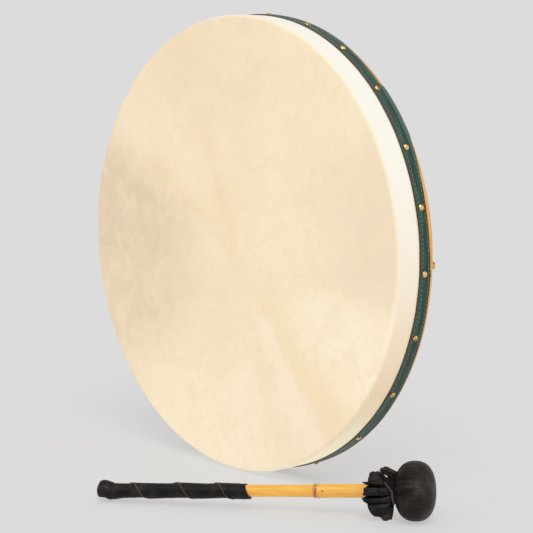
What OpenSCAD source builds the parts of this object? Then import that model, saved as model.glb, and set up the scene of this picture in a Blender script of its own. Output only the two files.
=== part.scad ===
// Ocean drum: a shallow frame drum with a skin on both faces and loose steel balls inside,
// standing on its rim, with its leather-headed beater lying on the floor in front of it.
// Millimetres, +Z up. The origin is on the floor under the middle of the whole set.

/* [Drum] */
// Diameter of the drum over its skins
drum_d = 559; // [400:1:620]
// Depth of the bent-wood shell
shell_depth = 48.4; // [44:0.1:80]
// Wall of the shell
shell_wall = 8.4; // [7:0.1:12]
// Rounding of the shell's two bearing edges
bearing_r = 3; // [2:0.1:3.6]
// Rounding of the shell's inner corners
inner_round = 1.5; // [1:0.1:2]
// Thickness of the skins
skin_t = 1.2; // [0.8:0.1:1.8]
// Thickness of their collars, stretched thinner over the edge and down the side
collar_t = 1; // [0.6:0.1:1.6]
// Play between a skin and the wood that it lies on
seat_gap = 0.1; // [0.05:0.01:0.2]
// Straight stretch of the rear skin's turned edge, past its bend
rear_lap = 1.2; // [0.5:0.1:3]
// Gap between the two skins' edges, under the tape
lap_gap = 0.8; // [0.5:0.1:2]

/* [Edge tape] */
// Width of the tape
tape_w = 16.4; // [14:0.1:22]
// Thickness of the tape at its edges
tape_t = 0.9; // [0.6:0.1:1.4]
// Extra height of the tape's padded middle
tape_crown = 0.9; // [0.3:0.1:1.5]
// Gap between the tape and the rear hoop
tape_gap = 0.4; // [0.2:0.1:1]

/* [Tape tacks] */
// Number of tacks round the drum
tack_count = 24; // [16:2:32]
// Diameter of a tack's domed head
tack_d = 7.4; // [6:0.1:10]
// Height of a tack's domed head
tack_h = 2.1; // [1.5:0.1:3]
// Diameter of a tack's shank
tack_shank_d = 1.7; // [1.2:0.1:2.2]
// Length of a tack's shank under its head
tack_shank_l = 8; // [6:0.1:9]
// How deep a head is driven into the tape
tack_sink = 0.3; // [0.1:0.05:0.5]

/* [Rear hoop] */
// Radial width of the flat wooden hoop that holds the rear skin
hoop_w = 16; // [12:0.1:24]
// Thickness of the hoop
hoop_t = 5.2; // [4.6:0.1:8]
// How far the hoop stands out past the skins
hoop_proud = 1; // [0.4:0.1:1.6]
// Rounding of the hoop's edges
hoop_round = 1.6; // [1:0.1:2]
// Height of the joint between the hoop's two ends, as an angle from the drum's right side
joint_angle = -2; // [-6:0.1:2]
// Width of the saw cut in that joint
saw_cut = 0.7; // [0.5:0.1:1.2]
// Slant of the saw cut from the radial direction
scarf_angle = 38; // [20:1:50]
// Width of the chipped notch at the joint's outer end
notch_w = 2.4; // [1.5:0.1:4]
// Depth of that notch
notch_depth = 1.3; // [0.5:0.1:2]

/* [Hoop fasteners] */
// Number of pins that hold the hoop
pin_count = 12; // [8:1:20]
// Diameter of a pin's flat head
pin_head_d = 4.4; // [3:0.1:6]
// Height of a pin's flat head
pin_head_h = 0.7; // [0.4:0.1:1]
// Diameter of a pin's shank
pin_shank_d = 1.8; // [1.2:0.1:2.2]
// Depth of a pin in the shell
pin_bite = 10; // [6:0.5:16]
// Diameter of the head of the one screw beside the hoop's joint
screw_head_d = 9.4; // [7:0.1:11]
// Height of that head, which stands proud of the hoop
screw_head_h = 4; // [2:0.1:5]
// Diameter of the screw's shank
screw_shank_d = 3.4; // [2.5:0.1:4]
// Width of the screw's driver slot
screw_slot_w = 1.2; // [0.8:0.1:1.6]
// Depth of the screw's driver slot
screw_slot_depth = 1.4; // [0.8:0.1:2]
// Height of the screw, as an angle from the drum's right side
screw_angle = -1; // [-3:0.1:3]
// Distance from the screw's head to the hoop's outer edge
screw_inset = 0.5; // [0.3:0.1:3]

/* [Steel balls] */
// Diameter of a ball
ball_d = 6; // [4:0.1:7]
// Space that each ball keeps from the next
ball_gap = 0.35; // [0.3:0.05:0.6]
// Rows of balls along the shell in the lower layer
floor_rows = 13; // [5:2:21]
// Rows of balls in the layer on top of it
upper_rows = 4; // [2:1:4]

/* [Beater] */
// Length of the beater from its butt to the far side of its head
beater_len = 392.5; // [340:0.5:460]
// Angle of the beater on the floor, from the drum's face
beater_yaw = 34.8; // [20:0.1:45]
// Place of the butt along the drum's face, from the drum's foot
butt_x = 4.5; // [-60:0.5:40]
// Distance of the butt in front of the drum's face
butt_y = 209.5; // [180:0.5:300]
// Diameter of the bamboo stick, from the butt to its node ring
stick_d = 13.8; // [11:0.1:16]
// Diameter of the bamboo past its node ring, which is a little thicker
stick_far_d = 15.4; // [11:0.1:17]
// How far the stick starts inside the butt's leather
stick_inset = 2.4; // [1.6:0.1:4]
// Distance of the bamboo's node ring from the butt
node_at = 258.5; // [230:0.5:290]
// Length of the node ring
node_len = 7; // [5:0.1:10]
// Height of the node ring's two lips over the stick
node_rise = 0.8; // [0.4:0.1:1.4]
// Radius of the groove between the lips
node_groove_r = 1; // [0.5:0.1:1.2]

/* [Grip] */
// Distance from the butt to the end of the leather grip
grip_end = 181.5; // [150:0.5:215]
// Distance from one seam of the wound grip strip to the next
strip_pitch = 49.4; // [40:0.1:60]
// Gap between neighbouring turns of the strip
strip_gap = 0.6; // [0.5:0.05:1]
// Thickness of the strip at its skived edge
strip_thin = 1.2; // [0.9:0.1:1.6]
// Thickness of the strip at its full edge
strip_full = 2.1; // [1.7:0.1:2.6]
// Play between the grip and the stick
grip_play = 0.15; // [0.1:0.05:0.3]
// Place of a seam on the side away from the drum, from the butt
seam_at = 55; // [40:1:70]
// Slant of the grip's cut end
grip_slant = 16; // [0:1:25]
// Length of the folded leather over the butt
cap_len = 16; // [12:0.5:24]
// Diameter of the folded leather over the butt
cap_d = 22; // [20.5:0.1:25]
// Gap between the butt's leather and the wound strip
cap_gap = 0.4; // [0.2:0.1:1]

/* [Beater head] */
// Diameter of the leather head
head_d = 67; // [56:0.5:80]
// Length of the leather head along the stick
head_len = 43; // [38:0.5:56]
// Squareness of the head's outline, where 2 is an ellipse
head_power = 2.4; // [2:0.05:2.6]
// Thickness of the leather
leather_t = 1.5; // [1.2:0.1:2]
// Diameter of the wooden core
core_d = 44; // [36:0.5:48]
// Length of the wooden core
core_len = 27; // [22:0.5:28]
// Rounding of the core's edges
core_round = 7; // [4:0.5:10]
// Depth of the stick's socket in the core
socket_depth = 21; // [14:0.5:21.5]
// Play of the stick in its socket
socket_play = 0.1; // [0.05:0.05:0.3]
// Play between the layers of the head
layer_gap = 0.3; // [0.2:0.05:0.5]
// Diameter of the tied neck
neck_d = 26; // [22:0.5:30]
// Distance of the tied neck from the head's centre
neck_back = 25.5; // [25:0.1:32]
// Pleats round the leather's neck and frill
pleats = 9; // [7:1:12]
// Length of the frill behind the neck, along the stick
frill_len = 19.5; // [16:0.5:28]
// How much shorter the frill is on its far side
frill_lean = 16; // [0:0.5:16]
// Direction round the stick in which the frill reaches furthest back
frill_lean_to = 150; // [90:5:210]
// Radius of the frill's rim
frill_r = 22; // [18:0.5:22.5]
// Extra radius of the rim on its underside
frill_droop = 7.5; // [0:0.1:8]
// Diameter of the tie cord
tie_d = 1.6; // [1.2:0.1:2]
// Distance between the tie cord's turns
tie_pitch = 2.1; // [2.1:0.05:2.6]
// Turns of the tie cord round the neck
tie_turns = 3; // [2:1:3]
// Length of the tie's leather tail
tail_len = 19; // [14:0.5:28]
// Width of the tie's leather tail
tail_w = 11; // [6:0.5:13]
// Thickness of the tail
tail_t = 3; // [2:0.1:4]
// Angle at which the tail stands off the stick
tail_rise = 25; // [15:1:32]
// Turn of the tail's broad side round its own length
tail_roll = 35; // [0:1:60]

/* [Hidden] */

// Overrun of a cut past the face that it opens
over = 1;
round_fn = 96;
small_fn = 32;

// The drum's radii, and its depths from the front skin's face
skin_r = drum_d / 2;
shell_r = skin_r - skin_t - seat_gap;
shell_inner_r = shell_r - shell_wall;
corner_r = bearing_r + seat_gap + skin_t;
face_r = skin_r - corner_r;
shell_front = skin_t + seat_gap;
shell_back = shell_front + shell_depth;
rear_face = shell_back + seat_gap + skin_t;
hoop_front = rear_face + seat_gap;
hoop_back = hoop_front + hoop_t;
hoop_r = skin_r + hoop_proud;
tape_back = hoop_front - tape_gap;
tape_mid = tape_back - tape_w / 2;
front_lap = rear_face - corner_r - rear_lap - lap_gap;
crown_r = skin_r + seat_gap + tape_t + tape_crown;
wood_mid_r = shell_r - shell_wall / 2;

// Hand-set places of the tacks: each one's shift from even spacing, as a share of that spacing,
// counted from the first tack right of the drum's foot, up that side and round to the foot again
tack_nudge_shares = [
    0, 0, 0.13, 0.23, 0.29, 0.32, 0.34, 0.3, 0.39, 0.37, 0.27, 0.22,
    0.2, 0.1, 0, -0.1, 0.05, 0.1, 0, -0.05, 0.05, 0, 0, 0
];

// The balls' pile: a close-packed bed, with each row half a space across from the last
ball_pitch = ball_d + ball_gap;
row_pitch = ball_pitch * sqrt(3) / 2;
layer_pitch = ball_pitch * sqrt(2 / 3);
bed_r = shell_inner_r - ball_gap - ball_d / 2;
bed_w = shell_depth - ball_d - 2 * ball_gap;
per_row = floor(bed_w / ball_pitch + 1 / 2);
bed_start = shell_front + ball_gap + ball_d / 2 + (bed_w - (per_row - 1 / 2) * ball_pitch) / 2;

// The beater's radii and the places along it, from its butt
stick_r = stick_d / 2;
far_r = stick_far_d / 2;
cap_r = cap_d / 2;
head_r = head_d / 2;
neck_r = neck_d / 2;
head_at = beater_len - head_len / 2;
neck_at = head_at - neck_back;
neck_half = (tie_turns * tie_pitch + tie_d) / 2 + layer_gap;
cap_fat_at = cap_len / 4;
grip_r = stick_r + grip_play;
core_back = head_at - core_len / 2;
beater_pitch = asin((head_r - cap_r) / (head_at - cap_fat_at));
butt_z = cap_r * cos(beater_pitch) - cap_fat_at * sin(beater_pitch);

// The drum's foot stands where it puts the origin under the middle of the whole set
head_reach = cos(beater_pitch) * head_at;
head_x = butt_x + head_reach * cos(beater_yaw)
    + norm([head_len / 2 * cos(beater_yaw), head_r * sin(beater_yaw)]);
near_y = butt_y + (cap_r - cap_fat_at) * cos(beater_yaw);
drum_x = (hoop_r - head_x) / 2;
drum_y = (near_y - hoop_back) / 2;
drum_z = crown_r;

// Puts the drum's own frame in place: its axis becomes local Z, from the front to the rear
module drum_frame() {
    translate([drum_x, drum_y, drum_z]) rotate([-90, 0, 0]) children();
}

// Puts the beater's own frame in place: local X runs from the butt to the head
module beater_frame() {
    translate([drum_x + butt_x, drum_y - butt_y, butt_z])
        rotate([0, -beater_pitch, beater_yaw]) children();
}

// Turns an outline drawn as [radius, distance along] round the beater's stick
module turned(from = 0) {
    translate([from, 0, 0]) rotate([0, 90, 0]) rotate_extrude($fn = round_fn) children();
}

// A rectangle with round corners, its own radius at its outer and at its inner side
module rounded(w, h, outer, inner) {
    translate([inner, 0]) square([w - inner - outer, h]);
    translate([0, inner]) square([inner, h - 2 * inner]);
    translate([w - outer, outer]) square([outer, h - 2 * outer]);
    for (y = [inner, h - inner]) translate([inner, y]) circle(inner, $fn = small_fn);
    for (y = [outer, h - outer]) translate([w - outer, y]) circle(outer, $fn = small_fn);
}

// The wooden shell, a bent hoop with rounded bearing edges
module shell() {
    color("burlywood") drum_frame() rotate_extrude($fn = round_fn)
        translate([shell_inner_r, shell_front])
            rounded(shell_wall, shell_depth, bearing_r, inner_round);
}

// Each skin is one hide, kept as two pieces that meet where it starts to bend: its flat face,
// and its collar, which is the bend over the bearing edge with the lap down the side. So the
// space between the faces stays open for the balls where each piece gets its collision hulls.
bend_flats = 8;

function bend_point(r, i) =
    let (a = 90 * i / bend_flats)
    [face_r + r * sin(a), corner_r - r * cos(a)];

module collar_outline(lap) {
    polygon(concat(
        [for (i = [0:bend_flats]) bend_point(corner_r, i)],
        [[skin_r, lap], [skin_r - collar_t, lap]],
        [for (i = [bend_flats:-1:0]) bend_point(corner_r - collar_t, i)]
    ));
}

// Turns the front skin's outline round into the rear skin's
module at_rear() {
    translate([0, rear_face]) mirror([0, 1]) children();
}

module front_head() {
    color("antiquewhite") drum_frame() rotate_extrude($fn = round_fn) square([face_r, skin_t]);
}

module front_collar() {
    color("oldlace") drum_frame() rotate_extrude($fn = round_fn) collar_outline(front_lap);
}

module back_head() {
    color("wheat") drum_frame() rotate_extrude($fn = round_fn) at_rear() square([face_r, skin_t]);
}

module back_collar() {
    color("wheat") drum_frame() rotate_extrude($fn = round_fn)
        at_rear() collar_outline(corner_r + rear_lap);
}

// The tape over the skins' edges, thin at its sides with a padded crown along its middle
module edge_tape() {
    inside = skin_r + seat_gap;
    steps = 12;
    crown = [
        for (i = [0:steps])
            let (u = 2 * i / steps - 1)
            [inside + tape_t + tape_crown * pow(cos(90 * u), 1.5), tape_mid + u * tape_w / 2]
    ];
    color("darkslategray") drum_frame() rotate_extrude($fn = round_fn)
        polygon(concat([[inside, tape_back], [inside, tape_back - tape_w]], crown));
}

// One domed tack, its head's underside at Z = 0 and its shank pointing down
module tack() {
    dome_r = (pow(tack_d / 2, 2) + pow(tack_h, 2)) / (2 * tack_h);
    rotate_extrude($fn = small_fn) intersection() {
        translate([0, tack_h - dome_r]) circle(dome_r, $fn = round_fn);
        square([tack_d / 2, tack_h]);
    }
    taper = tack_shank_l / 3;
    translate([0, 0, -tack_shank_l + taper])
        cylinder(d = tack_shank_d, h = tack_shank_l - taper, $fn = small_fn);
    translate([0, 0, -tack_shank_l])
        cylinder(d1 = tack_shank_d / 5, d2 = tack_shank_d, h = taper, $fn = small_fn);
}

module tape_tacks() {
    step = 360 / tack_count;
    shares = len(tack_nudge_shares);
    color("gold") drum_frame() for (i = [0:tack_count - 1]) {
        share = tack_nudge_shares[round(i * shares / tack_count) % shares];
        rotate([0, 0, 90 - step * (i + 1 / 2 + share)])
            translate([crown_r - tack_sink, 0, tape_mid]) rotate([0, 90, 0]) tack();
    }
}

// A hoop's section, its four edges eased in small flats
module eased(w, h, r, flats = 3) {
    polygon([
        for (q = [0:3], i = [0:flats])
            let (a = 90 * q + 90 * i / flats, side = q == 0 || q == 3, top = q < 2)
            [(side ? w - r : r) + r * cos(a), (top ? h - r : r) + r * sin(a)]
    ]);
}

// The flat wooden hoop over the rear skin: its ends meet in a slanted joint with a chipped notch
module rear_hoop() {
    cut_len = 2 * hoop_w / cos(scarf_angle);
    cut_h = hoop_t + 2 * over;
    color("goldenrod") drum_frame() difference() {
        rotate_extrude($fn = round_fn) translate([hoop_r - hoop_w, hoop_front])
            eased(hoop_w, hoop_t, hoop_round);
        rotate([0, 0, -joint_angle]) translate([hoop_r, 0, hoop_front - over]) {
            translate([-hoop_w / 2, 0, cut_h / 2]) rotate([0, 0, scarf_angle])
                cube([cut_len, saw_cut, cut_h], center = true);
            translate([0, hoop_w / 2 * tan(scarf_angle), 0]) rotate([0, 0, scarf_angle])
                cube([2 * notch_depth, notch_w, 2 * cut_h], center = true);
        }
    }
}

// The pins of the rear hoop, driven through the rear skin into the shell
module hoop_pins() {
    shank_l = hoop_t + skin_t + 2 * seat_gap + pin_bite;
    color("gold") drum_frame() for (i = [0:pin_count - 1])
        rotate([0, 0, 360 / pin_count * (i + 1 / 2)]) translate([wood_mid_r, 0, hoop_back]) {
            cylinder(d = pin_head_d, h = pin_head_h, $fn = small_fn);
            translate([0, 0, -shank_l]) cylinder(d = pin_shank_d, h = shank_l, $fn = small_fn);
        }
}

// The screw beside the hoop's joint, whose slotted head stands behind the hoop's outer edge
module joint_screw() {
    shank_l = hoop_t + skin_t + 2 * seat_gap + pin_bite;
    color("darkgoldenrod") drum_frame() rotate([0, 0, -screw_angle])
        translate([hoop_r - screw_inset - screw_head_d / 2, 0, hoop_back]) {
            difference() {
                cylinder(d = screw_head_d, h = screw_head_h, $fn = small_fn);
                translate([0, 0, screw_head_h])
                    cube([screw_head_d + over, screw_slot_w, 2 * screw_slot_depth], center = true);
            }
            translate([0, 0, -shank_l]) cylinder(d = screw_shank_d, h = shank_l, $fn = small_fn);
        }
}

// One row of balls across the shell, at an angle from the foot and a height over the bed
module ball_row(angle, height, shift, count) {
    for (i = [0:count - 1])
        rotate([0, 0, 90 + angle])
            translate([bed_r - height, 0, bed_start + i * ball_pitch + shift])
                sphere(d = ball_d, $fn = small_fn);
}

// The loose balls, lying in the bottom of the shell as one pile
module steel_balls() {
    row_angle = 360 * row_pitch / (2 * PI * bed_r);
    half = (floor_rows - 1) / 2;
    first_upper = -floor(upper_rows / 2);
    color("lightsteelblue") drum_frame() {
        for (k = [-half:half])
            ball_row(k * row_angle, 0, abs(k) % 2 * ball_pitch / 2, per_row);
        for (k = [first_upper:first_upper + upper_rows - 1])
            ball_row((k + 1 / 3) * row_angle, layer_pitch,
                (1 - abs(k) % 2) * ball_pitch / 2 + abs(k) % 2 * ball_pitch, per_row - 1);
    }
}

// The bamboo stick, with the two lips and the groove of its node
module bamboo_stick() {
    tip = core_back + socket_depth - socket_play;
    lip = node_len / 2;
    color("sandybrown") beater_frame() turned() difference() {
        union() {
            translate([0, stick_inset]) square([stick_r, node_at - stick_inset]);
            translate([0, node_at]) square([far_r, tip - node_at]);
            intersection() {
                for (side = [-1, 1])
                    translate([
                        (side < 0 ? stick_r : far_r) + node_rise - lip,
                        node_at + side * lip / 2
                    ]) circle(lip, $fn = small_fn);
                translate([0, node_at - node_len]) square([far_r + node_rise, 2 * node_len]);
            }
        }
        translate([far_r + node_rise, node_at]) circle(node_groove_r, $fn = small_fn);
    }
}

// The strip's corners in one section: [distance along from its middle, radius]
strip_w = strip_pitch - strip_gap;
strip_section = [
    [-strip_w / 2, grip_r],
    [-strip_w / 2, grip_r + strip_full - strip_thin / 4],
    [-strip_w / 2 + strip_thin / 2, grip_r + strip_full],
    [0, grip_r + (strip_full + strip_thin) / 2],
    [strip_w / 2 - strip_thin / 2, grip_r + strip_thin],
    [strip_w / 2, grip_r + strip_thin - strip_thin / 4],
    [strip_w / 2, grip_r]
];
strip_steps = 24;
strip_first = -2 * strip_steps;
strip_last = ceil((grip_end - seam_at) / strip_pitch + 2) * strip_steps;

// A section of the strip: a seam passes the side away from the drum at seam_at
function strip_ring(i) =
    let (turn = i / strip_steps, angle = 180 + 360 * turn)
    [
        for (p = strip_section)
            [seam_at + (turn + 1 / 2) * strip_pitch + p[0], p[1] * cos(angle), p[1] * sin(angle)]
    ];

// The faces of a tube of rings, with its two ends closed
function tube_faces(rings, sides) = concat(
    [[for (k = [0:sides - 1]) k]],
    [
        for (i = [0:rings - 2], k = [0:sides - 1])
            let (a = i * sides, n = (k + 1) % sides)
            each [[a + k, a + sides + k, a + sides + n], [a + k, a + sides + n, a + n]]
    ],
    [[for (k = [sides - 1:-1:0]) (rings - 1) * sides + k]]
);

// The leather grip, one strip wound round the stick and cut off at both ends
module grip_wrap() {
    rings = [for (i = [strip_first:strip_last]) strip_ring(i)];
    block = 2 * strip_pitch * (strip_last - strip_first) / strip_steps;
    color("saddlebrown") beater_frame() difference() {
        polyhedron(
            [for (r = rings) each r],
            tube_faces(len(rings), len(strip_section))
        );
        translate([cap_len + cap_gap - block / 2, 0, 0]) cube(block, center = true);
        translate([grip_end, 0, 0]) rotate([0, grip_slant, 0]) translate([block / 2, 0, 0])
            cube(block, center = true);
    }
}

// The strip's least gap to its own next turn, measured on the corners that face each other
first_turn = [for (i = [0:strip_steps]) strip_ring(i)[len(strip_section) - 1]];
next_turn = [for (i = [strip_steps:2 * strip_steps]) strip_ring(i)[0]];
echo(strip_least_gap = min([for (a = first_turn, b = next_turn) norm(a - b)]));

// The folded leather over the butt
module grip_end_cap() {
    end_r = cap_r - cap_fat_at;
    side = cap_len - 2 * cap_fat_at;
    color("saddlebrown") beater_frame() turned() difference() {
        union() {
            square([end_r, cap_fat_at]);
            translate([end_r, cap_fat_at]) circle(cap_fat_at, $fn = small_fn);
            translate([0, cap_fat_at]) square([cap_r, side]);
            polygon([
                [0, cap_fat_at], [cap_r, cap_fat_at + side],
                [grip_r + strip_full, cap_len], [0, cap_len]
            ]);
        }
        translate([0, stick_inset - grip_play]) square([grip_r, cap_len]);
    }
}

// The wooden core with the stick's blind socket
module head_core() {
    color("tan") beater_frame() turned(core_back) difference() {
        union() {
            square([core_d / 2 - core_round, core_len]);
            translate([0, core_round]) square([core_d / 2, core_len - 2 * core_round]);
            for (y = [core_round, core_len - core_round])
                translate([core_d / 2 - core_round, y]) circle(core_round, $fn = small_fn);
        }
        translate([0, -over]) square([far_r + socket_play, socket_depth + over]);
    }
}

// A round outline of the head: half its length and radius, less the same inset all round
function head_outline(inset, from = 0, to = 180, steps = 30) = [
    for (i = [0:steps])
        let (
            a = from + (to - from) * i / steps,
            e = 2 / head_power,
            c = cos(a),
            s = max(sin(a), 0)
        )
        [(head_r - inset) * pow(s, e), -sign(c) * (head_len / 2 - inset) * pow(abs(c), e)]
];

// The felt between the core and the leather
module head_padding() {
    hole = layer_gap;
    color("gainsboro") beater_frame() turned(head_at) difference() {
        polygon(head_outline(leather_t + 2 * layer_gap));
        translate([0, -core_len / 2 - hole]) square([core_d / 2 - core_round, core_len + 2 * hole]);
        translate([0, core_round - core_len / 2])
            square([core_d / 2 + hole, core_len - 2 * core_round]);
        for (y = [-1, 1])
            translate([core_d / 2 - core_round, y * (core_len / 2 - core_round)])
                circle(core_round + hole, $fn = small_fn);
        translate([0, -head_len]) square([far_r + hole, head_len]);
    }
}

// The leather of the head: one round piece gathered over the felt, tied at the neck, with its
// free edge spread behind the tie as a pleated frill. Its sections run from the head's far
// side to the frill's rim; each point is [distance along, radius], and a turns round the stick.
leather_sides = 4 * pleats;
leather_rings = 11;
frill_rings = 3;
frill_t = leather_t;
// Where the round part ends at the neck, as an angle round its outline from the far side
leather_stop = 158;
// Depth of the pleats at the frill's rim, as a share of its radius
pleat_share = 0.16;
// How far the pleats wander to one side, in degrees of a pleat
pleat_wander = 40;

function ball_point(inset, u) =
    let (p = head_outline(inset, 180, 180 - leather_stop, leather_rings)[u * leather_rings])
    [head_at + p[1], p[0]];

// How strongly the pleats show at a share of the way to the neck
function pleat_depth(u) = pleat_share / 4 * pow(u, 6);

function outer_ball(u, a) =
    let (p = ball_point(0, u))
    [p[0], p[1] * (1 + pleat_depth(u) * (cos(pleats * a) - 1))];

function inner_ball(u) = ball_point(leather_t, u);

// The frill's middle surface at a share of the way from the neck to the rim
function frill_point(u, a) =
    let (
        fold = pleat_share * u * cos(pleats * a + pleat_wander * sin(a)),
        lean = frill_lean * (1 - cos(a - frill_lean_to)) / 2,
        rim = frill_r + frill_droop * max(0, -sin(a)),
        back = frill_len - lean + frill_t * u * sin(2 * pleats * a + 45)
    )
    [
        neck_at - neck_half - back * pow(u, 1.4),
        (neck_r - frill_t + (rim - neck_r + frill_t) * pow(u, 0.7))
            * (1 + fold / 2 - pleat_share * u / 2)
    ];

function leather_sections(a) = concat(
    [for (i = [0:leather_rings]) outer_ball(i / leather_rings, a)],
    [[neck_at + neck_half, neck_r]],
    [[neck_at - neck_half, neck_r]],
    [for (i = [1:frill_rings]) frill_point(i / frill_rings, a) + [frill_t / 2, frill_t / 2]],
    [for (i = [frill_rings:-1:1]) frill_point(i / frill_rings, a) - [frill_t / 2, frill_t / 2]],
    [[neck_at - neck_half, far_r + layer_gap]],
    [[neck_at + neck_half, far_r + layer_gap]],
    [for (i = [leather_rings:-1:0]) inner_ball(i / leather_rings)]
);

// Turns a profile point into a point of the beater's frame
function round_stick(p, a) = [p[0], p[1] * cos(a), p[1] * sin(a)];

module head_leather() {
    columns = [for (k = [0:leather_sides - 1]) let (a = 360 * k / leather_sides)
        [for (p = leather_sections(a)) round_stick(p, a)]];
    rows = len(columns[0]);
    points = [for (i = [0:rows - 1], k = [0:leather_sides - 1]) columns[k][i]];
    color("saddlebrown") beater_frame() polyhedron(points, tube_faces(rows, leather_sides));
}

// The cord that ties the neck, in turns that lie side by side
tie_steps = 24;
tie_sides = 6;
tie_r = neck_r + layer_gap + tie_d / 2;

function tie_ring(i) =
    let (turn = i / tie_steps, angle = 360 * turn)
    [
        for (k = [0:tie_sides - 1])
            let (b = 360 * k / tie_sides)
            round_stick(
                [
                    neck_at + (turn - tie_turns / 2) * tie_pitch + tie_d / 2 * cos(b),
                    tie_r + tie_d / 2 * sin(b)
                ],
                angle
            )
    ];

module neck_tie() {
    rings = [for (i = [0:tie_turns * tie_steps]) tie_ring(i)];
    color("dimgray") beater_frame()
        polyhedron([for (r = rings) each r], tube_faces(len(rings), tie_sides));
}

tie_turn_one = [for (i = [0:tie_steps]) each tie_ring(i)];
tie_turn_two = [for (i = [tie_steps:2 * tie_steps]) each tie_ring(i)];
echo(tie_least_gap = min([
    for (i = [0:tie_sides * tie_steps - 1]) norm(tie_turn_two[i] - tie_turn_one[i])
]) - tie_d);

// The tie's leather tail, which leaves the neck over the head's shoulder and stands back
tail_rings = 8;
tail_sides = 10;
// Width of the tail at its root, as a share of its full width
tail_root_share = 0.55;
tail_from = neck_at + tie_pitch * (tie_turns + 1) / 2 + tie_d - layer_gap;

function tail_ring(i) =
    let (
        u = i / tail_rings,
        swell = tail_root_share + (1 - tail_root_share) * sin(180 * min(4 / 3 * u, 1)),
        bow = tail_t * sin(180 * u)
    )
    [
        for (k = [0:tail_sides - 1])
            let (
                b = 360 * k / tail_sides,
                across = tail_w / 2 * swell * cos(b),
                through = tail_t / 2 * swell * sin(b),
                rolled = tail_roll * u
            )
            [
                tail_from - u * tail_len * cos(tail_rise),
                across * cos(rolled) - through * sin(rolled),
                neck_r + tie_d + tail_t + u * tail_len * sin(tail_rise) + bow
                    + across * sin(rolled) + through * cos(rolled)
            ]
    ];

module tie_tail() {
    rings = [for (i = [0:tail_rings]) tail_ring(i)];
    color("saddlebrown") beater_frame()
        polyhedron([for (r = rings) each r], tube_faces(len(rings), tail_sides));
}

shell();
front_head();
front_collar();
back_head();
back_collar();
edge_tape();
tape_tacks();
rear_hoop();
hoop_pins();
joint_screw();
steel_balls();
bamboo_stick();
grip_wrap();
grip_end_cap();
head_core();
head_padding();
head_leather();
neck_tie();
tie_tail();
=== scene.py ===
import math
import random

import bmesh
import bpy
import numpy as np
from mathutils import Matrix, Vector, noise

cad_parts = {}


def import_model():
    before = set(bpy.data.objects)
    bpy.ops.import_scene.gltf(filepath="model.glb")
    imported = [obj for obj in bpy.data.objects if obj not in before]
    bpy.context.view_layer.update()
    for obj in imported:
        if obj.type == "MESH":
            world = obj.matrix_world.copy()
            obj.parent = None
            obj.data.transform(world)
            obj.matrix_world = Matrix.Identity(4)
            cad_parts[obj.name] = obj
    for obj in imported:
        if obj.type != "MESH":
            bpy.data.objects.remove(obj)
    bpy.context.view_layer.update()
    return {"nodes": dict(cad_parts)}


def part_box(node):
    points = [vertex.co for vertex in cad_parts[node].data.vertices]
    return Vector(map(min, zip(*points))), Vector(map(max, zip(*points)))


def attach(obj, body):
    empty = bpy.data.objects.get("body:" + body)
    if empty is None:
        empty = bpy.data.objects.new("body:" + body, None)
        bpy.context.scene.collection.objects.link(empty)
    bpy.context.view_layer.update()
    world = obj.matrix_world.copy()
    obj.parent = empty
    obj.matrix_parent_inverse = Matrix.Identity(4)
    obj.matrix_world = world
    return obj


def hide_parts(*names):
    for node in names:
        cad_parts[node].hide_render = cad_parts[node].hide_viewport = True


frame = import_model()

SCENE = bpy.context.scene
MM = 0.001
DEGREE = math.pi / 180

# The drum in the frame, in metres: its centre on the played face, its radii, and its depths
# behind that face

FACE_LOW, FACE_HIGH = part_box("front_head")
SKIN_LOW, SKIN_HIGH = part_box("front_collar")
REAR_LOW, REAR_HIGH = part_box("back_collar")
TAPE_LOW, TAPE_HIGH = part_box("edge_tape")
HOOP_LOW, HOOP_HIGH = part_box("rear_hoop")
FACE_R = (FACE_HIGH.x - FACE_LOW.x) / 2
SKIN_R = (SKIN_HIGH.x - SKIN_LOW.x) / 2
SKIN_T = FACE_HIGH.y - FACE_LOW.y
BEND_R = SKIN_R - FACE_R
HOOP_R = (HOOP_HIGH.x - HOOP_LOW.x) / 2
CROWN_R = (TAPE_HIGH.x - TAPE_LOW.x) / 2
CENTRE = Vector(((SKIN_LOW.x + SKIN_HIGH.x) / 2, SKIN_LOW.y, (SKIN_LOW.z + SKIN_HIGH.z) / 2))
TAPE_FRONT = TAPE_LOW.y - CENTRE.y
TAPE_REAR = TAPE_HIGH.y - CENTRE.y
HOOP_FRONT = HOOP_LOW.y - CENTRE.y
REAR_FACE = REAR_HIGH.y - CENTRE.y
# How far the tape's two seams lie from its front and rear edges
SEAM_FRONT, SEAM_REAR = 5.4 * MM, 2.7 * MM

# The beater's own frame: X from its butt to its head, Y towards the drum, Z up. s is a distance
# along it from the butt, r a radius, and a an angle round it that turns from Y to Z

HEAD_AT = 371 * MM
STICK_MIDDLE = sum(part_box("bamboo_stick"), Vector()) / 2
CORE_MIDDLE = sum(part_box("head_core"), Vector()) / 2
BEATER_X = (CORE_MIDDLE - STICK_MIDDLE).normalized()
BEATER_Y = Vector((0, 0, 1)).cross(BEATER_X).normalized()
BEATER_Z = BEATER_X.cross(BEATER_Y)
BUTT = CORE_MIDDLE - HEAD_AT * BEATER_X
BEATER = Matrix.Translation(BUTT) @ Matrix((BEATER_X, BEATER_Y, BEATER_Z)).transposed().to_4x4()
# The stick's radius before and after its node, its ends, its node, and the bud scar's distance
# along it and angle round it
STICK_R, FAR_R = 6.9 * MM, 7.7 * MM
STICK_START, STICK_END = 2.4 * MM, 378.4 * MM
NODE_AT = 258.5 * MM
SCAR_AT, SCAR_DEGREES = 266.8 * MM, 165
NECK_AT, NECK_R = 345.5 * MM, 13 * MM


# Helpers for numbers

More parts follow.
